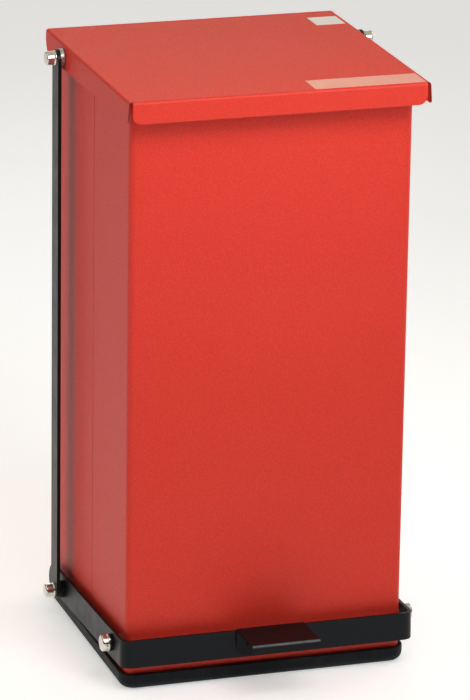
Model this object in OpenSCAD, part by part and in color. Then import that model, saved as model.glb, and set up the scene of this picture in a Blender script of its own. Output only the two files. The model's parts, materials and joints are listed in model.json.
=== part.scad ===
// Step-on oily waste can: square sheet-steel receptacle with a pedal frame, two side links,
// a hinged lid and a lift-out liner. Millimetres, +Z up, front at -Y, origin on the floor
// under the centre of the body.

/* [Body] */
// Width of the painted body
body_w = 356; // [320:1:400]
// Depth of the painted body
body_d = 336; // [300:1:380]
// Height of the body's top edge above the floor
body_top = 746; // [700:1:800]
// Thickness of the body and lid sheet
sheet_t = 1.2; // [0.8:0.1:1.6]
// Outer radius of the body's vertical bends
bend_r = 8; // [5:0.5:12]
// Position in depth of the vertical side seams
seam_y = -14; // [-40:1:40]

/* [Base boot] */
// Height of the moulded boot
boot_h = 20.5; // [19:0.5:24]
// How far the boot stands out from the body
boot_out = 6.8; // [4:0.1:6.8]
// Plan radius of the boot's corners
boot_r = 20; // [14:1:26]

/* [Lid] */
// Height of the lid's top face
lid_top = 755; // [750:1:800]
// How far the lid overhangs each side of the body
lid_side = 10.5; // [9:0.5:12]
// How far the lid overhangs the front of the body
lid_front = 31; // [26:1:36]
// Height of the lid's front flange
lid_drop = 27; // [24:1:32]
// Height of the lid's side flanges at the rear
lid_drop_rear = 31; // [27:1:34]
// Angle that the side flanges splay outwards
lid_splay = 4; // [0:0.5:5]

/* [Hinge] */
// Position in depth of the hinge pin
hinge_y = 171; // [171:0.5:174]
// Height of the hinge pin
hinge_z = 750; // [748:0.5:751]
// Diameter of the hinge pin
hinge_pin_d = 3.2; // [3:0.1:3.6]

/* [Linkage] */
// Position in depth of the pedal frame's pivot
pivot_y = -138; // [-150:1:-120]
// Height of the pedal frame's pivot
pivot_z = 52.4; // [50:0.1:54]
// Position in depth of the lid and link pins
link_y = 86.5; // [84:0.5:90]
// Height of the pins on the lid
lid_pin_z = 739; // [736:0.5:742]
// Height of the lower link pins
link_pin_z = 39; // [38:0.5:40]
// Width of the link bars
link_w = 27; // [26:0.5:32]
// Thickness of the link bars
link_t = 4.4; // [3:0.1:4.8]

/* [Pedal frame] */
// Width of the flat bar that the pedal frame is bent from
bar_h = 35; // [35:0.2:38]
// Thickness of the pedal frame's flat bar
bar_t = 4; // [3.5:0.1:4.5]
// Angle that the pedal frame slopes down towards the rear at rest
bar_tilt = 2.5; // [2:0.1:3]
// Width of the foot tread
tread_w = 87; // [70:1:110]
// Depth of the foot tread
tread_d = 67; // [50:1:75]

/* [Liner] */
// Outside width of the liner
liner_w = 322; // [300:1:324]
// Outside depth of the liner
liner_d = 302; // [280:1:304]
// Height of the liner
liner_h = 700; // [640:5:704]

/* [Hidden] */
$fn = 64;

left = -1;
right = 1;
sides = [left, right];
play = 0.3;            // air between faces that slide past each other
fit = 0.06;            // radial clearance of a running fit
red = "#c8392c";
black = "#26282a";
nickel = "#c9cac6";
zinc = "#a9adae";

half_w = body_w / 2;
half_d = body_d / 2;
boot_floor = 4;        // height that the shells stand at inside the boot
boot_foot = 11;        // radius of the boot's bottom edge
pocket_step = 13;      // height where the pocket widens
pocket_gap = 2.5;      // clear space round the body above that height

// lid
lid_half = half_w + lid_side;
lid_y0 = -half_d - lid_front;
lid_bend = 3.5;
lid_under = lid_top - sheet_t;
notch = 4.5;               // how far the front flange stops short of each side
flange_corner = 5;         // radii of the flanges' lower corners
front_corner = 11;
flange_rear_corner = 27;
lid_back = hinge_y - 3;
lid_axis = lid_half - lid_bend;            // centre line of the side bends

// U-shaped pedal frame, in its own tilted frame with the pivot at the origin
bar_out = half_w + 11.1;                   // outer face of the side arms
bar_front = -half_d - 21 - pivot_y;        // outer face of the front cross bar
bar_end = 286;
bar_corner = 14;
bar_mid = -1.1;                            // bar's mid line, measured from the pivot
bar_end_top = 23;                          // radii of the arms' rounded rear ends
bar_end_low = bar_h - bar_end_top;
pin_dy = link_y - pivot_y;
pin_dz = link_pin_z - pivot_z;
slot_y = pin_dy * cos(bar_tilt) - pin_dz * sin(bar_tilt);
slot_z = pin_dy * sin(bar_tilt) + pin_dz * cos(bar_tilt);
slot_len = 26;
slot_h = 18;

// link stations, measured out from the middle of the can
link_in = lid_half + 6.5;
link_out = link_in + link_t;
link_end = 10.5;           // how far a link reaches past the centre of its pin
link_pin_r = 4;
pin_end = 8;               // how far the pins stand out past a link
pin_head_r = 7;
washer_r = 11;
pin_cap_r = 8.7;
pin_cap_len = 12.5;
retainer_r = 15;
retainer_t = 1.5;
pivot_r = 5;

// tread, in the pedal frame's axes
tread_t = 2.5;
tread_top = bar_mid + bar_h / 2 + tread_t;
tread_lip = 11;
tread_corner = 14;
tread_rivet_x = 26;
tread_rivet_z = bar_mid - 3;
tread_rivet_r = 3;

// liner
liner_t = 1;
liner_bead = 5;
liner_r = 14;
liner_rest = 13.2;
liner_top = liner_rest + liner_h;
handle_z = 688;
handle_drop = 42;
handle_half = 45;
handle_r = 2.5;
handle_x = liner_w / 2 - liner_t - 7;
handle_bend = 9;
clip_out = 12;             // middle of each eye, out from the bail's leg

// ---------- shared shapes ----------

// points of an arc about c, from angle a0 to a1
function arc(c, r, a0, a1, n = 8) =
    [for (i = [0:n]) c + r * [cos(a0 + (a1 - a0) * i / n), sin(a0 + (a1 - a0) * i / n)]];

// flat rectangle with round corners
module round_rect(w, d, r) {
    square([w - 2 * r, d], center = true);
    square([w, d - 2 * r], center = true);
    for (x = [-1, 1], y = [-1, 1]) translate([x * (w / 2 - r), y * (d / 2 - r)]) circle(r);
}

// flat ring between two round rectangles
module rect_ring(w, d, r, t) {
    difference() {
        round_rect(w, d, r);
        round_rect(w - 2 * t, d - 2 * t, max(r - t, 0.5));
    }
}

// flat bar outline with full-round ends at y = 0 and y = len, along +Y
module stadium(len, r) {
    circle(r);
    translate([0, len]) circle(r);
    translate([-r, 0]) square([2 * r, len]);
}

// rod lying along X, from x0 to x1 on the given side, at depth y and height z
module rod(side, x0, x1, r, y, z) {
    translate([side * x0, y, z]) rotate([0, side * 90, 0]) cylinder(h = x1 - x0, r = r);
}

// push-on cap over a pin: flared lip, straight wall, crowned end
module push_cap(side, x0, y, z, r, len, bore_r, bore_len, lip) {
    translate([side * x0, y, z]) rotate([0, side * 90, 0]) rotate_extrude()
        polygon(concat(
            [[bore_r, 0], [r + lip, 0], [r + lip, 1], [r, 2.6]],
            arc([r - 2.2, len - 2.2], 2.2, 0, 72, 6),
            [[0, len], [0, bore_len], [bore_r, bore_len]]));
}

// outline in the YZ plane pushed out to thickness t outside x = side * x0
module side_plate(side, x0, t) {
    translate([side > 0 ? x0 : -x0 - t, 0, 0])
        rotate([90, 0, 90]) linear_extrude(t) children();
}

// ---------- can body ----------

seam_gap = 1.2;             // slot between the two shells
strip_w = 24;
strip_z = 40;
strip_t = 1.2;
strip_sink = 0.6;           // how far a strip sits inside the shells' inner face

module body_wall() {
    translate([0, 0, boot_floor]) linear_extrude(body_top - boot_floor)
        rect_ring(body_w, body_d, bend_r, sheet_t);
}

module pivot_holes() {
    rod(left, half_w - 5, half_w + 5, pivot_r + 0.1, pivot_y, pivot_z);
    rod(right, half_w - 5, half_w + 5, pivot_r + 0.1, pivot_y, pivot_z);
}

module front_shell() {
    color(red) difference() {
        body_wall();
        translate([-body_w, seam_y - seam_gap / 2, -1]) cube([2 * body_w, body_d, body_top + 2]);
        pivot_holes();
    }
}

rivets = 5;
rivet_pitch = 74;
hinge_rivet_z = 726.5;
rivet_r = 2;

module rivet_row(r, y0, y1) {
    for (i = [0:rivets - 1])
        translate([(i - (rivets - 1) / 2) * rivet_pitch, y1, hinge_rivet_z])
            rotate([90, 0, 0]) cylinder(h = y1 - y0, r = r);
}

module rear_shell() {
    color(red) difference() {
        body_wall();
        translate([-body_w, seam_y + seam_gap / 2 - body_d, -1]) cube([2 * body_w, body_d, body_top + 2]);
        rivet_row(rivet_r + 0.1, half_d - 5, half_d + 5);
    }
}

module seam_strips() {
    color(red) for (s = sides)
        translate([s * (half_w - sheet_t - strip_sink) - strip_t / 2, seam_y - strip_w / 2, strip_z])
            cube([strip_t, strip_w, body_top - strip_z - 20]);
}

// pressed pan that closes the bottom of the shells and carries the liner
pan_t = 1.2;
pan_flange = 20;

module floor_pan() {
    w = body_w - 2 * sheet_t;
    d = body_d - 2 * sheet_t;
    color(black) {
        translate([0, 0, liner_rest - pan_t]) linear_extrude(pan_t) round_rect(w, d, bend_r - sheet_t);
        translate([0, 0, liner_rest - pan_t]) linear_extrude(pan_flange)
            rect_ring(w, d, bend_r - sheet_t, pan_t);
    }
}

// half section of the boot's outside, from the middle out to the face at half
module boot_section(half) {
    polygon(concat(
        [[0, 0]],
        arc([half - boot_foot, boot_foot], boot_foot, 270, 360, 6),
        [[half, boot_h - 1], [half - 1, boot_h], [0, boot_h]]));
}

module boot_section_pair(half) {
    boot_section(half);
    mirror([1, 0]) boot_section(half);
}

// moulded boot with a rounded foot and a stepped pocket for the body's bottom edge
module base_boot() {
    w = body_w + 2 * boot_out;
    d = body_d + 2 * boot_out;
    color(black) difference() {
        union() {
            for (x = [-1, 1], y = [-1, 1])
                translate([x * (w / 2 - boot_r), y * (d / 2 - boot_r), 0])
                    rotate_extrude() boot_section(boot_r);
            translate([0, d / 2 - boot_r, 0]) rotate([90, 0, 0]) linear_extrude(d - 2 * boot_r)
                boot_section_pair(w / 2);
            translate([-w / 2 + boot_r, 0, 0]) rotate([90, 0, 90]) linear_extrude(w - 2 * boot_r)
                boot_section_pair(d / 2);
        }
        translate([0, 0, boot_floor]) linear_extrude(boot_h) round_rect(body_w, body_d, bend_r);
        translate([0, 0, pocket_step]) linear_extrude(boot_h)
            round_rect(body_w + 2 * pocket_gap, body_d + 2 * pocket_gap, bend_r + pocket_gap);
    }
}

// stiffening angle round the mouth, with a turned-down inner lip
rim_out_w = body_w - 2 * sheet_t;
rim_out_d = body_d - 2 * sheet_t;
rim_ledge = 10.5;
rim_t = 1.5;
rim_leg = 16;
rim_lip = 7;
lip_w = rim_out_w - 2 * rim_ledge + 2 * rim_t;
lip_d = rim_out_d - 2 * rim_ledge + 2 * rim_t;

module top_rim() {
    color(red) {
        translate([0, 0, body_top - rim_leg]) linear_extrude(rim_leg)
            rect_ring(rim_out_w, rim_out_d, bend_r - sheet_t, rim_t);
        translate([0, 0, body_top - rim_t]) linear_extrude(rim_t)
            rect_ring(rim_out_w, rim_out_d, bend_r - sheet_t, rim_ledge);
        translate([0, 0, body_top - rim_lip]) linear_extrude(rim_lip)
            rect_ring(lip_w, lip_d, 2, rim_t);
    }
}

// ---------- hinge ----------

knuckles = 9;
hinge_len = 340;
knuckle_len = hinge_len / knuckles;
barrel_r = 3.1;
leaf_t = 1.2;
web_h = 8;                 // joins each body knuckle to its leaf
lid_leaf_y = hinge_y - 34; // front edge of the lid leaf
leaf_drop = 32;            // how far the body leaf reaches below the pin
knuckle_gap = 3;           // top edge of the body leaf between its knuckles, below the pin
leaf_back = 3.6;           // rear edge of the lid leaf between its knuckles, ahead of the pin

// rows of knuckles that start at number first and step by two
module barrels(first) {
    for (i = [first:2:knuckles - 1])
        translate([-hinge_len / 2 + i * knuckle_len + play / 2, hinge_y, hinge_z])
            rotate([0, 90, 0]) cylinder(h = knuckle_len - play, r = barrel_r);
}

module hinge_bore() {
    translate([-hinge_len, hinge_y, hinge_z]) rotate([0, 90, 0])
        cylinder(h = 2 * hinge_len, r = hinge_pin_d / 2 + fit);
}

module hinge_leaf_body() {
    color(red) difference() {
        union() {
            barrels(0);
            for (i = [0:2:knuckles - 1])
                translate([-hinge_len / 2 + i * knuckle_len + play / 2, half_d, hinge_z - web_h])
                    cube([knuckle_len - play, leaf_t, web_h]);
            translate([-hinge_len / 2, half_d, hinge_z - leaf_drop])
                cube([hinge_len, leaf_t, leaf_drop - knuckle_gap]);
        }
        hinge_bore();
        rivet_row(rivet_r + 0.1, half_d - 5, half_d + 5);
    }
}

module hinge_pin() {
    color(zinc) translate([-hinge_len / 2 - 1, hinge_y, hinge_z]) rotate([0, 90, 0])
        cylinder(h = hinge_len + 2, r = hinge_pin_d / 2);
}

module hinge_rivets() {
    head = 1.2;
    tail = 1.8;
    color(zinc) {
        rivet_row(rivet_r, half_d - sheet_t - tail / 2, half_d + leaf_t + head / 2);
        rivet_row(rivet_r + 1.4, half_d + leaf_t, half_d + leaf_t + head);
        rivet_row(rivet_r + 1, half_d - sheet_t - tail, half_d - sheet_t);
    }
}

module hinge_leaf_lid() {
    top = lid_under;
    color(red) difference() {
        union() {
            barrels(1);
            for (i = [1:2:knuckles - 1])
                translate([-hinge_len / 2 + i * knuckle_len + play / 2, hinge_y - 9, top - leaf_t])
                    cube([knuckle_len - play, 10, leaf_t]);
            translate([-hinge_len / 2, lid_leaf_y, top - leaf_t])
                cube([hinge_len, hinge_y - leaf_back - lid_leaf_y, leaf_t]);
        }
        hinge_bore();
    }
}

// ---------- pedal pivots, fixed to the body ----------

nut_h = 6;
nut_r = 9.8;               // to the corners of the hexagon
spacer_r = 9;
pad_r = 10.8;
pad_t = 3.2;               // thickness of the washer between bar and cap
pivot_cap_r = 10.4;
pivot_cap_len = 9.6;
stud_in = half_w - sheet_t - nut_h - 2;
stud_out = bar_out + 9;
cap_in = bar_out + play + pad_t;

module pivot_stud(side) {
    color(zinc) rod(side, stud_in, stud_out, pivot_r, pivot_y, pivot_z);
}

// hexagon nuts inside the body
module pivot_nuts() {
    color(zinc) for (s = sides) difference() {
        translate([s * (half_w - sheet_t - nut_h), pivot_y, pivot_z]) rotate([0, s * 90, 0])
            cylinder(h = nut_h, r = nut_r, $fn = 6);
        rod(s, stud_in, half_w, pivot_r + 0.1, pivot_y, pivot_z);
    }
}

module ring(side, x0, x1, r_out, r_in, y, z) {
    difference() {
        rod(side, x0, x1, r_out, y, z);
        rod(side, x0 - 1, x1 + 1, r_in, y, z);
    }
}

module pivot_spacers() {
    color(zinc) for (s = sides)
        ring(s, half_w, bar_out - bar_t - play, spacer_r, pivot_r + 0.1, pivot_y, pivot_z);
}

module pivot_washers() {
    color(black) for (s = sides)
        ring(s, bar_out + play, cap_in, pad_r, pivot_r + 0.1, pivot_y, pivot_z);
}

module pivot_cap(side) {
    color(nickel) push_cap(side, cap_in, pivot_y, pivot_z, pivot_cap_r, pivot_cap_len,
        pivot_r + 0.05, pivot_cap_len - 3.1, 0.5);
}

// ---------- lid ----------

// quarter bend along +Y or +X: profile in the plane across the bend
module bend_profile(r, t) {
    intersection() {
        difference() {
            circle(r);
            circle(r - t);
        }
        square(r);
    }
}

// side flange outline, measured down from the bend's axis
module flange_outline() {
    y0 = lid_y0 + 1.5;
    drop = lid_drop - lid_bend;
    drop_rear = lid_drop_rear - lid_bend;
    polygon(concat(
        [[lid_back, 0], [y0, 0]],
        arc([y0 + flange_corner, flange_corner - drop], flange_corner, 180, 270),
        arc([lid_back - flange_rear_corner, flange_rear_corner - drop_rear],
            flange_rear_corner, 270, 358, 10)));
}

// front flange outline in the XZ plane, with round lower corners
module front_outline() {
    x1 = lid_half - notch;
    z0 = lid_top - lid_drop;
    polygon(concat(
        [[x1, lid_top - lid_bend], [-x1, lid_top - lid_bend]],
        arc([-x1 + front_corner, z0 + front_corner], front_corner, 180, 270),
        arc([x1 - front_corner, z0 + front_corner], front_corner, 270, 360)));
}

// the sheet bends a little less than square, so each side flange leans outwards
module lid_side_fold(s) {
    len_y = lid_back - lid_y0 - 1.5;
    translate([s * lid_axis, lid_back, lid_top - lid_bend]) rotate([90, 0, 0]) linear_extrude(len_y)
        scale([s, 1]) bend_profile(lid_bend, sheet_t);
    translate([s * lid_axis, 0, lid_top - lid_bend]) rotate([0, -s * lid_splay, 0])
        side_plate(s, lid_bend - sheet_t, sheet_t) flange_outline();
}

module lid_cover() {
    color(red) difference() {
        union() {
            translate([-lid_axis, lid_y0 + lid_bend, lid_under])
                cube([2 * lid_axis, lid_back - lid_y0 - lid_bend, sheet_t]);
            for (s = sides) lid_side_fold(s);
            translate([-lid_half + notch, lid_y0 + lid_bend, lid_top - lid_bend])
                rotate([90, 0, 90]) linear_extrude(2 * (lid_half - notch))
                    scale([-1, 1]) bend_profile(lid_bend, sheet_t);
            translate([0, lid_y0 + sheet_t, 0]) rotate([90, 0, 0]) linear_extrude(sheet_t) front_outline();
        }
        for (s = sides) rod(s, lid_half - 5, lid_half + 5, link_pin_r + 0.1, link_y, lid_pin_z);
    }
}

bumper_r = 4.5;
bumper_in = 7;             // bumper centres, in from the body's sides

module lid_bumpers() {
    color(black) for (s = sides, y = [-half_d + bumper_in, 110])
        translate([s * (half_w - bumper_in), y, body_top + play])
            cylinder(h = lid_under - body_top - play, r = bumper_r);
}

label_t = 0.3;
label_at = [43.5, lid_y0 + 4.5, lid_top];
label_size = [139.5, 40.5, label_t];
sticker_at = [144, 100, lid_top];
sticker_size = [37.5, 38.5, label_t];

module lid_label() {
    color("#e3c2bd") translate(label_at) cube(label_size);
}

module lid_sticker() {
    color("#e8e6e2") translate(sticker_at) cube(sticker_size);
}

module lid_pin(side) {
    color(zinc) {
        rod(side, lid_half - sheet_t - 2.4, lid_half - sheet_t - 0.4, pin_head_r, link_y, lid_pin_z);
        rod(side, lid_half - sheet_t - 1, link_out + pin_end, link_pin_r, link_y, lid_pin_z);
    }
}

module lid_pin_spacers() {
    color(nickel) for (s = sides)
        ring(s, lid_half + 1.7, link_in - play, washer_r, link_pin_r + 0.1, link_y, lid_pin_z);
}

// cap on the end of a link's pin, from x0 outwards
module pin_cap(side, x0, z) {
    color(nickel) push_cap(side, x0, link_y, z, pin_cap_r, pin_cap_len,
        link_pin_r + 0.05, pin_cap_len - 4, 0.7);
}

// ---------- links ----------

module link_bar(side) {
    trim = link_w / 2 - link_end;
    span = lid_pin_z - link_pin_z - 2 * trim;
    color(black) difference() {
        side_plate(side, link_in, link_t)
            translate([link_y, link_pin_z + trim]) stadium(span, link_w / 2);
        rod(side, link_in - 1, link_out + 1, link_pin_r + fit, link_y, lid_pin_z);
        rod(side, link_in - 1, link_out + 1, link_pin_r + 0.05, link_y, link_pin_z);
    }
}

// the lower pin turns with the link and floats in the slot of the pedal frame's arm
pin_tail = bar_out - bar_t - play - retainer_t - 1.1;

module link_pin(side) {
    color(zinc) rod(side, pin_tail, link_out + pin_end, link_pin_r, link_y, link_pin_z);
}

module link_spacer(side) {
    color(black) ring(side, bar_out + play, link_in, washer_r, link_pin_r + 0.05, link_y, link_pin_z);
}

module link_retainer(side) {
    color(zinc) ring(side, bar_out - bar_t - play - retainer_t, bar_out - bar_t - play, retainer_r,
        link_pin_r + 0.05, link_y, link_pin_z);
}

// ---------- pedal frame ----------

// places children in the pedal frame's tilted axes
module at_pedal() {
    translate([0, pivot_y, pivot_z]) rotate([-bar_tilt, 0, 0]) children();
}

// side view of the frame: a straight bar with unequal radii at the rear ends
module arm_outline() {
    top = bar_mid + bar_h / 2;
    low = bar_mid - bar_h / 2;
    polygon(concat(
        [[bar_front - 1, top], [bar_front - 1, low]],
        arc([bar_end - bar_end_low, low + bar_end_low], bar_end_low, 270, 360),
        arc([bar_end - bar_end_top, top - bar_end_top], bar_end_top, 0, 90, 12)));
}

module tread_rivet_holes() {
    for (x = [-tread_rivet_x, tread_rivet_x])
        translate([x, bar_front + 20, tread_rivet_z]) rotate([90, 0, 0])
            cylinder(h = 40, r = tread_rivet_r + 0.1);
}

module pedal_bar() {
    plan_d = 2 * (bar_end - bar_front);
    color(black) at_pedal() difference() {
        intersection() {
            translate([0, bar_front + plan_d / 2, bar_mid - bar_h / 2]) linear_extrude(bar_h)
                rect_ring(2 * bar_out, plan_d, bar_corner, bar_t);
            translate([-bar_out - 1, 0, 0]) rotate([90, 0, 90]) linear_extrude(2 * bar_out + 2)
                arm_outline();
        }
        for (s = sides) {
            rod(s, bar_out - 10, bar_out + 5, pivot_r + fit, 0, 0);
            side_plate(s, bar_out - 10, 15)
                translate([slot_y - (slot_len - slot_h) / 2, slot_z]) rotate(-90)
                    stadium(slot_len - slot_h, slot_h / 2);
        }
        tread_rivet_holes();
    }
}

// bent plate: back flange on the cross bar, foot plate over the bar's top edge, front lip
module tread_bracket() {
    low = bar_mid - bar_h / 2 + 3;
    fold = 3.5;
    color(black) at_pedal() difference() {
        union() {
            translate([0, bar_front, 0]) rotate([90, 0, 0]) linear_extrude(tread_t)
                polygon(concat(
                    [[tread_w / 2, tread_top - 1], [-tread_w / 2, tread_top - 1]],
                    arc([-tread_w / 2 + tread_corner, low + tread_corner], tread_corner, 180, 270),
                    arc([tread_w / 2 - tread_corner, low + tread_corner], tread_corner, 270, 360)));
            translate([-tread_w / 2, bar_front, tread_top]) rotate([90, 0, 90]) linear_extrude(tread_w)
                polygon(concat(
                    [[0, -tread_t], [0, 0]],
                    arc([fold - tread_d, -fold], fold, 90, 180, 6),
                    [[-tread_d, -tread_lip], [tread_t - tread_d, -tread_lip]],
                    arc([fold - tread_d, -fold], fold - tread_t, 180, 90, 6)));
        }
        tread_rivet_holes();
    }
}

// round-head rivets that hold the tread to the cross bar
module tread_rivets() {
    head = 2.2;
    tail = 1.6;
    color(black) at_pedal() for (x = [-tread_rivet_x, tread_rivet_x]) translate([x, 0, tread_rivet_z]) {
        translate([0, bar_front + bar_t + tail / 2, 0]) rotate([90, 0, 0])
            cylinder(h = bar_t + tread_t + tail / 2 + head / 2, r = tread_rivet_r);
        translate([0, bar_front - tread_t, 0]) rotate([90, 0, 0])
            cylinder(h = head, r1 = tread_rivet_r + 2.5, r2 = tread_rivet_r + 0.8);
        translate([0, bar_front + bar_t + tail, 0]) rotate([90, 0, 0])
            cylinder(h = tail, r = tread_rivet_r + 1.6);
    }
}

// ---------- liner ----------

module liner_pail() {
    color(zinc) {
        translate([0, 0, liner_rest]) linear_extrude(liner_t) round_rect(liner_w, liner_d, liner_r);
        translate([0, 0, liner_rest]) linear_extrude(liner_h) rect_ring(liner_w, liner_d, liner_r, liner_t);
        translate([0, 0, liner_top - liner_bead]) linear_extrude(liner_bead)
            rect_ring(liner_w + liner_bead, liner_d + liner_bead, liner_r + liner_bead / 2,
                liner_bead / 2 + liner_t);
    }
}

// eyes welded to the liner's side walls, one at each end of both handles
module handle_clips() {
    wall = liner_w / 2 - liner_t;
    eye = 5;
    clip_w = 9;
    color(zinc) for (s = sides, y = [-1, 1])
        translate([s * handle_x, y * (handle_half + clip_out), handle_z]) difference() {
            union() {
                rotate([90, 0, 0]) cylinder(h = clip_w, r = eye, center = true);
                translate([s > 0 ? 0 : handle_x - wall, -clip_w / 2, -eye])
                    cube([wall - handle_x, clip_w, 2 * eye]);
            }
            rotate([90, 0, 0]) cylinder(h = 2 * clip_w, r = handle_r + fit, center = true);
        }
}

// wire bail that hangs down inside the liner wall
module liner_handle(side) {
    leg = handle_drop - handle_bend;
    stub = handle_half + clip_out + 6.5;
    color(zinc) translate([side * handle_x, 0, handle_z]) {
        for (y = [-1, 1]) {
            translate([0, y * (handle_half - handle_r), 0]) rotate([-y * 90, 0, 0])
                cylinder(h = stub - handle_half + handle_r, r = handle_r);
            translate([0, y * handle_half, -leg]) cylinder(h = leg, r = handle_r);
            translate([0, y * (handle_half - handle_bend), -leg])
                rotate([0, 90, 0]) rotate([0, 0, y > 0 ? 0 : 270])
                    rotate_extrude(angle = 90) translate([handle_bend, 0]) circle(handle_r, $fn = 32);
        }
        translate([0, -(handle_half - handle_bend), -handle_drop]) rotate([-90, 0, 0])
            cylinder(h = 2 * (handle_half - handle_bend), r = handle_r);
    }
}

front_shell();
rear_shell();
seam_strips();
floor_pan();
base_boot();
top_rim();
hinge_leaf_body();
hinge_pin();
hinge_rivets();
pivot_stud(left);  // pivot_stud_left
pivot_stud(right);  // pivot_stud_right
pivot_nuts();
pivot_spacers();
pivot_washers();
pivot_cap(left);  // pivot_cap_left
pivot_cap(right);  // pivot_cap_right
lid_cover();
hinge_leaf_lid();
lid_bumpers();
lid_label();
lid_sticker();
lid_pin(left);  // lid_pin_left
lid_pin(right);  // lid_pin_right
lid_pin_spacers();
pin_cap(left, link_out + play, lid_pin_z);  // lid_pin_cap_left
pin_cap(right, link_out + play, lid_pin_z);  // lid_pin_cap_right
link_bar(left);  // link_bar_left
link_pin(left);  // link_pin_left
link_spacer(left);  // link_spacer_left
link_retainer(left);  // link_retainer_left
pin_cap(left, link_out, link_pin_z);  // link_cap_left
link_bar(right);  // link_bar_right
link_pin(right);  // link_pin_right
link_spacer(right);  // link_spacer_right
link_retainer(right);  // link_retainer_right
pin_cap(right, link_out, link_pin_z);  // link_cap_right
pedal_bar();
tread_bracket();
tread_rivets();
liner_pail();
handle_clips();
liner_handle(left);  // liner_handle_left
liner_handle(right);  // liner_handle_right
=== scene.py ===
import json
import math

import bmesh
import bpy
from mathutils import Matrix, Vector


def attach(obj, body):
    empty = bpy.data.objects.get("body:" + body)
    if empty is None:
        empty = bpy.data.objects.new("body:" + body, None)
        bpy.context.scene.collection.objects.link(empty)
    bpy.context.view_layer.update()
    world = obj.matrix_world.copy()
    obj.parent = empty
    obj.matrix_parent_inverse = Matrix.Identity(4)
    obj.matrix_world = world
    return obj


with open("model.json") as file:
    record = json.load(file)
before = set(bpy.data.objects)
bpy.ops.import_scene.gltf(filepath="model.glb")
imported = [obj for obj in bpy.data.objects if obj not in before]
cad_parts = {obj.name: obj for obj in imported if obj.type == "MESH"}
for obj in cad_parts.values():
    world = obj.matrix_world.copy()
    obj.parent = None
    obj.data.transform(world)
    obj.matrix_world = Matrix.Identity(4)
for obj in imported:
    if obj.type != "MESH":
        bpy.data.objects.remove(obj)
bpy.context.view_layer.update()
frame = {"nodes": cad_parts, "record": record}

MM = 0.001

# sizes shared with the CAD nodes, in millimetres
LINER_W, LINER_D, LINER_R = 322, 302, 14
LINER_TOP = 713.2
HANDLE_CLIP_Y, HANDLE_Z = 57, 688
LID_UNDER = 753.8
LID_FRONT_HALF = 184.5      # just past the end of the front flange
LID_SHADE_EDGE_Y = -196.4       # just behind the front edge of the side flanges
HINGE_Y, HINGE_Z, HINGE_END = 171, 750, 171
LEAF_T = 1.2
REAR_Y = 168
RIVET_Z = 726.5
RIVET_X = [-148, -74, 0, 74, 148]

# places of the pieces that only this script makes, in millimetres
BEAD_HEIGHTS = (64, 76, 655)
STIFFENER_Y = (-92, 52)
STIFFENER_HALF = 118
STIFFENER_T = 0.9
BOTH = (-1, 1)

# width of the broken edge on each kind of sheet or bar, in millimetres
EDGE_BREAK = {
    "other": 0.12,
    "pedal_bar": 0.7,
    "link_bar_left": 0.7,
    "link_bar_right": 0.7,
    "tread_bracket": 0.45,
    "lid_cover": 0.3,
    "base_boot": 0.35,
    "front_shell": 0.25,
    "rear_shell": 0.25,
    "liner_pail": 0.25,
    "pivot_nuts": 0.4,
}

# ---------- camera ----------

VIEW_AZIMUTH = -17.95       # degrees round from the front, towards the can's left side
VIEW_ELEVATION = 18.16      # degrees above the floor
VIEW_ROLL = 0.87            # degrees that the camera leans
VIEW_DISTANCE = 5.793       # from the middle of the can
VIEW_LENS = 238.6           # mm, on a 36 mm sensor
VIEW_SHIFT = (-0.00983, 0.00841)   # metres that the can sits off the lens axis
VIEW_CENTRE = Vector((0, 0, 0.380))


def make_camera():
    """Long-lens product view from the front and a little to the can's left."""
    a, e, roll = (math.radians(x) for x in (VIEW_AZIMUTH, VIEW_ELEVATION, VIEW_ROLL))
    back = Vector((math.sin(a) * math.cos(e), -math.cos(a) * math.cos(e), math.sin(e)))
    right = (-back).cross(Vector((0, 0, 1))).normalized()
    up = right.cross(-back)
    right_r = right * math.cos(roll) + up * math.sin(roll)
    up_r = up * math.cos(roll) - right * math.sin(roll)
    spot = VIEW_CENTRE - right_r * VIEW_SHIFT[0] - up_r * VIEW_SHIFT[1] + back * VIEW_DISTANCE
    cam = bpy.data.objects.new("camera", bpy.data.cameras.new("camera"))
    bpy.context.scene.collection.objects.link(cam)
    cam.matrix_world = Matrix.Translation(spot) @ Matrix((right_r, up_r, back)).transposed().to_4x4()
    cam.data.lens = VIEW_LENS
    cam.data.sensor_width = 36
    cam.data.clip_start, cam.data.clip_end = 0.1, 100
    bpy.context.scene.camera = cam


# ---------- studio ----------

FLOOR_HALF = 45             # metres
FLOOR_WHITE = (0.86, 0.86, 0.86, 1)
FLOOR_ROUGHNESS = 0.7
FLOOR_GLOW = 0.45
SKY_COLOR = (1, 0.98, 0.94, 1)
SKY_STRENGTH = 0.10
WHITE = (1, 1, 1)
WARM = (1, 0.95, 0.84)
AMBER = (1, 0.93, 0.68)


def make_floor():
    """Plain pale floor that reaches past every view."""
    bm = bmesh.new()
    bmesh.ops.create_grid(bm, x_segments=2, y_segments=2, size=FLOOR_HALF)
    mesh = bpy.data.meshes.new("studio_floor")
    bm.to_mesh(mesh)
    bm.free()
    floor = bpy.data.objects.new("studio_floor", mesh)
    bpy.context.scene.collection.objects.link(floor)
    mat = bpy.data.materials.new("studio_floor")
    mat.use_nodes = True
    shader = mat.node_tree.nodes["Principled BSDF"]
    shader.inputs["Base Color"].default_value = FLOOR_WHITE
    shader.inputs["Roughness"].default_value = FLOOR_ROUGHNESS
    shader.inputs["Emission Color"].default_value = (*WHITE, 1)
    shader.inputs["Emission Strength"].default_value = FLOOR_GLOW
    mesh.materials.append(mat)


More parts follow.
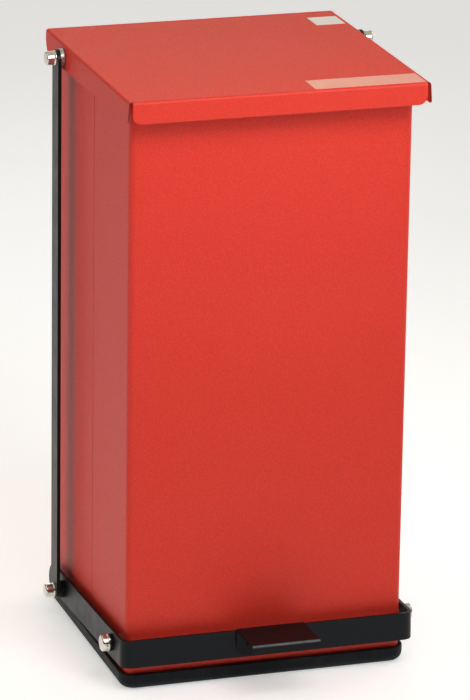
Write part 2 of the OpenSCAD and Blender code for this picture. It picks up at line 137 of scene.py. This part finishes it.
def softbox(name, place, target, size, power, spread, color=WHITE):
    """Area light of size (w, h) at place, turned to target; spread is the grid's cut-off angle."""
    data = bpy.data.lights.new(name, "AREA")
    data.spread = math.radians(spread)
    data.shape = "RECTANGLE"
    data.size, data.size_y = size
    data.energy = power
    data.color = color
    lamp = bpy.data.objects.new(name, data)
    lamp.location = place
    lamp.rotation_euler = (Vector(target) - Vector(place)).to_track_quat("-Z", "Y").to_euler()
    bpy.context.scene.collection.objects.link(lamp)


def make_studio():
    scene = bpy.context.scene
    scene.view_settings.view_transform = "Standard"
    world = bpy.data.worlds.new("studio")
    scene.world = world
    world.use_nodes = True
    sky = world.node_tree.nodes["Background"]
    sky.inputs["Color"].default_value = SKY_COLOR
    sky.inputs["Strength"].default_value = SKY_STRENGTH
    softbox("key_light", (0.8, -2.2, 1.9), (0, -0.17, 0.62), (1.2, 0.9), 2.2, 60)
    softbox("top_front_light", (0.1, -0.98, 1.5), (0, -0.17, 0.68), (1.0, 0.4), 1.8, 80)
    softbox("lid_edge_light", (0.3, -1.9, 1.15), (0, -0.2, 0.80), (1.3, 0.4), 0.3, 34)
    softbox("overhead_light", (0, 1.0, 3.4), (0, 1.0, 0), (8.0, 8.0), 92, 180, WARM)
    softbox("side_light", (-2.3, -0.5, 0.95), (-0.19, 0, 0.42), (0.9, 1.3), 0.55, 90, AMBER)
    softbox("upper_left_light", (-1.6, 0.3, 1.6), (-0.19, 0, 0.5), (1.0, 0.8), 0.85, 90, AMBER)
    softbox("fill_light", (2.3, 0.9, 1.2), (0.19, 0, 0.4), (1.0, 1.4), 3.0, 90)
    softbox("back_light", (0.5, 3.4, 0.62), (0, 0.17, 0.36), (1.8, 0.5), 1.8, 60)
    softbox("lid_sheen_light", (0.2, 2.2, 1.7), (0, 0, 0.75), (1.8, 0.9), 0.8, 70, AMBER)


# ---------- material helpers ----------

class Nodes:
    """Small wrapper that adds shader nodes and links them in one line."""

    def __init__(self, name):
        self.mat = bpy.data.materials.new(name)
        self.mat.use_nodes = True
        self.tree = self.mat.node_tree
        self.shader = self.tree.nodes["Principled BSDF"]
        self.coords = self.add("ShaderNodeTexCoord").outputs
        self.place = self.coords["Object"]

    def add(self, kind, inputs=None, **settings):
        node = self.tree.nodes.new(kind)
        for key, value in settings.items():
            setattr(node, key, value)
        for key, value in (inputs or {}).items():
            self.put(node.inputs[key], value)
        return node

    def put(self, socket, value):
        if isinstance(value, bpy.types.NodeSocket):
            self.tree.links.new(value, socket)
        else:
            socket.default_value = value

    def set(self, **values):
        """Sets the shader's sockets: base_color, roughness and so on."""
        for key, value in values.items():
            self.put(self.shader.inputs[key.replace("_", " ").title().replace("Ior", "IOR")], value)

    def noise(self, scale, detail=2.0, rough=0.5, where=None):
        return self.add("ShaderNodeTexNoise", {
            "Vector": where or self.place, "Scale": scale, "Detail": detail,
            "Roughness": rough}).outputs["Fac"]

    def stretch(self, x, y, z):
        """Object coordinates scaled along each axis."""
        return self.add("ShaderNodeMapping", {"Vector": self.place, "Scale": (x, y, z)}).outputs[0]

    def remap(self, value, low, high, to_low, to_high):
        return self.add("ShaderNodeMapRange", {
            "Value": value, "From Min": low, "From Max": high,
            "To Min": to_low, "To Max": to_high}).outputs["Result"]

    def math(self, operation, a, b=0.0):
        return self.add("ShaderNodeMath", {0: a, 1: b}, operation=operation).outputs[0]

    def dot(self, a, b):
        return self.add("ShaderNodeVectorMath", {0: a, 1: b}, operation="DOT_PRODUCT").outputs["Value"]

    def mix(self, factor, a, b):
        node = self.add("ShaderNodeMix", data_type="RGBA")
        self.put(node.inputs["Factor"], factor)
        self.put(node.inputs[6], a)
        self.put(node.inputs[7], b)
        return node.outputs[2]

    def bump(self, height, distance, strength=1.0, under=None):
        node = self.add("ShaderNodeBump", {"Height": height, "Distance": distance, "Strength": strength})
        if under:
            self.put(node.inputs["Normal"], under)
        return node.outputs["Normal"]

    def edges(self, radius):
        """1 on outside edges worn by hands and feet, 0 on flats."""
        rounded = self.add("ShaderNodeBevel", {"Radius": radius}, samples=4).outputs["Normal"]
        flat = self.add("ShaderNodeNewGeometry").outputs["Normal"]
        return self.remap(self.dot(rounded, flat), 0.98, 0.80, 0.0, 1.0)

    def axis(self, name):
        """Object-space coordinate along one axis."""
        return self.add("ShaderNodeSeparateXYZ", {0: self.place}).outputs[name]

    def facing(self, direction, low, high):
        """1 where the surface of the piece itself faces along direction, 0 elsewhere."""
        return self.remap(self.dot(self.coords["Normal"], direction), low, high, 0.0, 1.0)


def rgb(r, g, b):
    """Display colour 0-255 to the linear colour that the shader takes."""
    shown = (r / 255, g / 255, b / 255)
    lin = [c / 12.92 if c <= 0.04045 else ((c + 0.055) / 1.055) ** 2.4 for c in shown]
    return (*lin, 1)


# ---------- materials ----------

def powder_coat(name, main, deep, glaze, shade_edge_y=None):
    """Fine-textured epoxy powder coat: pinhead speckle, orange peel and a slow wave in the sheet.

    When a y edge is given, in millimetres, shade is painted on the front edges of the lid's side flanges
    in the corner notches ahead of it.
    """
    n = Nodes(name)
    speck = n.noise(900, 2.0, 0.6)
    blotch = n.noise(7, 3.0)
    tone = n.mix(n.remap(speck, 0.36, 0.66, 0, 1), deep, main)
    tone = n.mix(n.remap(blotch, 0.35, 0.65, 0, 0.10), tone, glaze)
    # painted shade: the front edges of the side flanges in the lid's corner notches are darkened towards
    # rgb(70, 14, 11)
    if shade_edge_y:
        ahead = n.remap(n.axis("Y"), shade_edge_y * MM, (shade_edge_y - 0.6) * MM, 0, 1)
        beside = n.remap(n.math("ABSOLUTE", n.axis("X")),
                         LID_FRONT_HALF * MM, (LID_FRONT_HALF + 0.4) * MM, 0, 1)
        painted_notch_shade = n.math("MULTIPLY", n.math("MULTIPLY", ahead, beside), 0.8)
        tone = n.mix(painted_notch_shade, tone, rgb(70, 14, 11))
    peel = n.noise(520, 3.0, 0.55)
    wave = n.noise(3.2, 1.0)
    normal = n.bump(wave, 0.006, 0.35)
    normal = n.bump(peel, 0.00035, 0.8, normal)
    n.set(base_color=tone, roughness=n.remap(peel, 0.3, 0.7, 0.42, 0.54), normal=normal,
          specular_ior_level=0.26)
    return n.mat


def black_enamel(name, tint, low, high, fold_highlight=0.0):
    """Black enamel on rolled bar: slow sags, a fine skin, a little dust and worn edges, with a painted
    highlight along a forward fold when asked.
    """
    n = Nodes(name)
    mottle = n.noise(38, 3.0, 0.5)
    tone = n.mix(n.remap(mottle, 0.50, 0.80, 0, 0.16), tint, rgb(34, 36, 37))
    tone = n.mix(n.math("MULTIPLY", n.edges(0.0010), 0.08), tone, rgb(70, 70, 68))
    # painted highlight: faces turned forward and up, such as the tread's front fold, are lightened to
    # grey rgb(150, 156, 158) in a mottled band
    if fold_highlight:
        fold_highlight_mask = n.math("MULTIPLY", n.facing((0, -0.80, 0.60), 0.86, 0.97),
                        n.remap(n.noise(90, 3.0), 0.3, 0.6, 0.6, 1))
        tone = n.mix(n.math("MULTIPLY", fold_highlight_mask, fold_highlight), tone, rgb(150, 156, 158))
    normal = n.bump(n.noise(480, 2.0), 0.0002, 0.5, n.bump(n.noise(14, 1.0), 0.0015, 0.35))
    n.set(base_color=tone, roughness=n.remap(mottle, 0.3, 0.7, low, high), normal=normal,
          specular_ior_level=0.18)
    return n.mat


def moulded_rubber(name, tint):
    """Black moulding with a fine grained skin and a pale bloom of dust."""
    n = Nodes(name)
    grain = n.noise(1400, 2.0, 0.6)
    dust = n.noise(34, 5.0, 0.65)
    tone = n.mix(n.remap(dust, 0.50, 0.85, 0, 0.30), tint, rgb(66, 65, 62))
    tone = n.mix(n.math("MULTIPLY", n.edges(0.0015), 0.2), tone, rgb(72, 72, 70))
    n.set(base_color=tone, roughness=n.remap(dust, 0.3, 0.7, 0.46, 0.62),
          normal=n.bump(grain, 0.0004, 0.6), specular_ior_level=0.15)
    return n.mat


def plated(name, tint, rough, streak):
    """Plated steel: fine turning marks, cloudy tarnish."""
    n = Nodes(name)
    marks = n.noise(streak, 3.0, 0.6, n.stretch(1, 0.12, 0.12))
    cloud = n.noise(120, 3.0)
    tone = n.mix(n.remap(cloud, 0.35, 0.75, 0, 0.5), tint, rgb(150, 146, 138))
    n.set(base_color=tone, metallic=1.0, roughness=n.remap(marks, 0.3, 0.7, rough * 0.7, rough * 1.4),
          normal=n.bump(marks, 0.00012, 0.4))
    return n.mat


def galvanised(name):
    """Hot-dip zinc with crystal spangle on light-gauge sheet."""
    n = Nodes(name)
    cells = n.add("ShaderNodeTexVoronoi", {"Vector": n.place, "Scale": 95.0, "Randomness": 1.0})
    shade = n.add("ShaderNodeSeparateColor", {"Color": cells.outputs["Color"]}).outputs[0]
    streaks = n.noise(40, 4.0, 0.6, n.stretch(1, 1, 0.15))
    tone = n.mix(shade, rgb(150, 154, 156), rgb(196, 199, 200))
    tone = n.mix(n.remap(streaks, 0.45, 0.8, 0, 0.5), tone, rgb(128, 130, 130))
    n.set(base_color=tone, metallic=0.55, roughness=n.remap(shade, 0, 1, 0.34, 0.56),
          normal=n.bump(n.noise(9, 1.0), 0.003, 0.3))
    return n.mat


def vinyl(name, tint, line):
    """Plain vinyl label: uneven ink, a few scuffs and dust along the cut edge."""
    n = Nodes(name)
    fade = n.noise(24, 3.0)
    scuff = n.noise(420, 3.0, 0.7, n.stretch(0.25, 1, 1))
    tone = n.mix(n.remap(fade, 0.35, 0.7, 0, 0.35), tint, line)
    tone = n.mix(n.remap(scuff, 0.60, 0.78, 0, 0.30), tone, line)
    n.set(base_color=tone, roughness=n.remap(fade, 0.3, 0.7, 0.34, 0.5),
          normal=n.bump(n.noise(500, 2.0), 0.0001, 0.4))
    return n.mat


def make_materials():
    return {
        "body_paint": powder_coat("body_paint", rgb(229, 60, 44), rgb(200, 46, 33), rgb(214, 70, 53)),
        "lid_paint": powder_coat("lid_paint", rgb(229, 61, 45), rgb(201, 47, 34), rgb(214, 72, 55),
                                 LID_SHADE_EDGE_Y),
        "pan_paint": black_enamel("pan_paint", rgb(34, 34, 35), 0.4, 0.55),
        "boot_rubber": moulded_rubber("boot_rubber", rgb(8, 14, 19)),
        "zinc_steel": plated("zinc_steel", rgb(198, 199, 198), 0.32, 900),
        "washer_steel": plated("washer_steel", rgb(206, 205, 200), 0.30, 700),
        "cap_nickel": plated("cap_nickel", rgb(226, 222, 212), 0.16, 600),
        "link_enamel": black_enamel("link_enamel", rgb(20, 20, 18), 0.28, 0.38),
        "tread_enamel": black_enamel("tread_enamel", rgb(14, 13, 15), 0.50, 0.62, 0.5),
        "frame_enamel": black_enamel("frame_enamel", rgb(8, 15, 20), 0.32, 0.42),
        "bumper_rubber": moulded_rubber("bumper_rubber", rgb(26, 22, 20)),
        "washer_nylon": moulded_rubber("washer_nylon", rgb(22, 22, 23)),
        "label_pink": vinyl("label_pink", rgb(232, 160, 142), rgb(216, 138, 120)),
        "sticker_white": vinyl("sticker_white", rgb(232, 228, 224), rgb(214, 208, 204)),
        "liner_galvanised": galvanised("liner_galvanised"),
        "handle_wire": plated("handle_wire", rgb(190, 192, 192), 0.30, 800),
    }


def dress_cad():
    """Gives every CAD node its slot's material, and breaks the edges that a press or a saw leaves."""
    for row in frame["record"]["subparts"]:
        name = row["node"]
        obj = frame["nodes"][name]
        obj.data.materials.clear()
        obj.data.materials.append(materials[row["material_slot"]])
        width = EDGE_BREAK.get(name, EDGE_BREAK["other"])
        bevel = obj.modifiers.new("edge_break", "BEVEL")
        bevel.width = width * MM
        bevel.segments = 2
        bevel.limit_method = "ANGLE"
        bevel.angle_limit = math.radians(50)


# ---------- pieces built in code, in millimetres ----------

def add_piece(name, verts, faces, body, slot, smooth=True):
    """Makes a closed mesh, hangs it on a body and gives it a slot's material."""
    bm = bmesh.new()
    points = [bm.verts.new(Vector(v) * MM) for v in verts]
    for face in faces:
        bm.faces.new([points[i] for i in face])
    bmesh.ops.remove_doubles(bm, verts=bm.verts, dist=1e-6)
    bmesh.ops.recalc_face_normals(bm, faces=bm.faces)
    for face in bm.faces:
        face.smooth = smooth
    mesh = bpy.data.meshes.new(name)
    bm.to_mesh(mesh)
    bm.free()
    obj = bpy.data.objects.new(name, mesh)
    bpy.context.scene.collection.objects.link(obj)
    mesh.materials.append(materials[slot])
    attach(obj, body)


def turned(profile, place, axis, segments=40):
    """Verts and faces of a profile of (radius, height) pairs turned about an axis from place."""
    axis = Vector(axis).normalized()
    side = axis.orthogonal().normalized()
    other = axis.cross(side)
    verts, faces = [], []
    for radius, height in profile:
        for i in range(segments):
            a = math.tau * i / segments
            out = side * math.cos(a) + other * math.sin(a)
            verts.append(Vector(place) + axis * height + out * radius)
    for row in range(len(profile) - 1):
        for i in range(segments):
            j = (i + 1) % segments
            faces.append((row * segments + i, row * segments + j,
                          (row + 1) * segments + j, (row + 1) * segments + i))
    faces.append(tuple(range(segments)))
    faces.append(tuple(range((len(profile) - 1) * segments, len(profile) * segments)))
    return verts, faces


def merged(shapes):
    """Several (verts, faces) as one."""
    verts, faces = [], []
    for v, f in shapes:
        faces += [tuple(i + len(verts) for i in face) for face in f]
        verts += v
    return verts, faces


def dome(place, axis, radius, height, foot=0.4):
    """Rivet or weld button: low crowned disc with a rounded skirt."""
    steps = 7
    profile = [(radius, 0), (radius, foot)]
    for k in range(1, steps):
        a = math.pi / 2 * k / steps
        profile.append((radius * math.cos(a), foot + (height - foot) * math.sin(a)))
    profile.append((radius * 0.04, height))
    return turned(profile, place, axis, 24)


def bead_round(width, depth, corner, section, z, steps=10):
    """Section of (out, up) pairs swept round a rectangle with round corners."""
    path = []
    for cx, cy, start in ((1, 1, 0), (-1, 1, 90), (-1, -1, 180), (1, -1, 270)):
        for k in range(steps + 1):
            a = math.radians(start + 90 * k / steps)
            centre = Vector((cx * (width / 2 - corner), cy * (depth / 2 - corner), z))
            path.append((centre, Vector((math.cos(a), math.sin(a), 0))))
    verts, faces = [], []
    for centre, out in path:
        for o, u in section:
            verts.append(centre + out * (corner + o) + Vector((0, 0, u)))
    n, m = len(path), len(section)
    for i in range(n):
        for k in range(m):
            faces.append((i * m + k, ((i + 1) % n) * m + k,
                          ((i + 1) % n) * m + (k + 1) % m, i * m + (k + 1) % m))
    return verts, faces


def half_round(radius, reach, steps=8):
    """Raised bead's section: flat against the wall, crowned outside."""
    return [(reach * math.sin(math.pi * k / steps), -radius * math.cos(math.pi * k / steps))
            for k in range(steps + 1)]


def prism(outline, axis, start, end):
    """Outline of (a, b) pairs in the plane across the axis, pushed from start to end."""
    def at(a, b, c):
        return {"x": (c, a, b), "y": (a, c, b), "z": (a, b, c)}[axis]
    n = len(outline)
    verts = [at(a, b, start) for a, b in outline] + [at(a, b, end) for a, b in outline]
    faces = [(i, (i + 1) % n, n + (i + 1) % n, n + i) for i in range(n)]
    faces += [tuple(range(n)), tuple(range(n, 2 * n))]
    return verts, faces


def add_liner_details():
    """Swaged beads, wired edge, lock seam and clip rivets of the lift-out pail."""
    beads = [bead_round(LINER_W, LINER_D, LINER_R, half_round(4.5, 1.7), z) for z in BEAD_HEIGHTS]
    add_piece("liner_beads", *merged(beads), "liner", "liner_galvanised")
    wire_r = 3.1
    sides = 14
    angles = [math.tau * k / sides for k in range(sides)]
    roll = [(wire_r * math.cos(a) + 0.3, wire_r * math.sin(a)) for a in angles]
    add_piece("liner_wired_edge", *bead_round(LINER_W, LINER_D, LINER_R, roll, LINER_TOP - wire_r),
              "liner", "liner_galvanised")
    y = LINER_D / 2
    seam = [(-5.5, y - 0.2), (-5.0, y + 0.9), (-1.0, y + 1.2), (0, y + 0.8), (1.0, y + 1.2),
            (5.0, y + 0.9), (5.5, y - 0.2)]
    add_piece("liner_lock_seam", *prism(seam, "z", 16, LINER_TOP - 8), "liner", "liner_galvanised", False)
    rivets = [dome((sx * (LINER_W / 2 - 1), sy * HANDLE_CLIP_Y + dy, HANDLE_Z), (-sx, 0, 0), 2.4, 1.3)
              for sx in BOTH for sy in BOTH for dy in (-9, 9)]
    add_piece("liner_clip_rivets", *merged(rivets), "liner", "handle_wire")


def add_lid_details():
    """Pressed stiffeners and spot welds under the lid."""
    z = LID_UNDER
    foot = z - STIFFENER_T
    crown = z - 4.4
    hat = [(-26, z), (-26, foot), (-14, foot), (-10, crown), (10, crown), (14, foot), (26, foot), (26, z)]
    shapes = [prism([(a + y0, b) for a, b in hat], "x", -STIFFENER_HALF, STIFFENER_HALF)
              for y0 in STIFFENER_Y]
    add_piece("lid_stiffeners", *merged(shapes), "lid", "lid_paint", False)
    down = (0, 0, -1)
    welds = [dome((x, y0 + dy, foot), down, 2.6, 0.5, 0.15)
             for y0 in STIFFENER_Y for dy in (-20, 20) for x in range(-105, 106, 30)]
    welds += [dome((x, HINGE_Y - 22, z - LEAF_T), down, 2.8, 0.5, 0.15) for x in range(-150, 151, 50)]
    add_piece("lid_spot_welds", *merged(welds), "lid", "lid_paint")


def add_body_details():
    """Crowned rivet heads with their stems on the hinge leaf, and the hinge pin's peened ends."""
    leaf_y = REAR_Y + LEAF_T
    back = (0, 1, 0)
    heads = [dome((x, leaf_y, RIVET_Z), back, 3.6, 1.8) for x in RIVET_X]
    add_piece("hinge_rivet_heads", *merged(heads), "can", "zinc_steel")
    stem = [(1.3, 0), (1.3, 0.5), (0.9, 0.7), (0.6, 0.7)]
    stems = [turned(stem, (x, leaf_y + 1.6, RIVET_Z), back, 16) for x in RIVET_X]
    add_piece("hinge_rivet_stems", *merged(stems), "can", "washer_steel")
    ends = [dome((side * HINGE_END, HINGE_Y, HINGE_Z), (side, 0, 0), 2.3, 0.9) for side in BOTH]
    add_piece("hinge_pin_heads", *merged(ends), "can", "zinc_steel")


make_camera()
make_floor()
make_studio()
materials = make_materials()
dress_cad()
add_liner_details()
add_lid_details()
add_body_details()
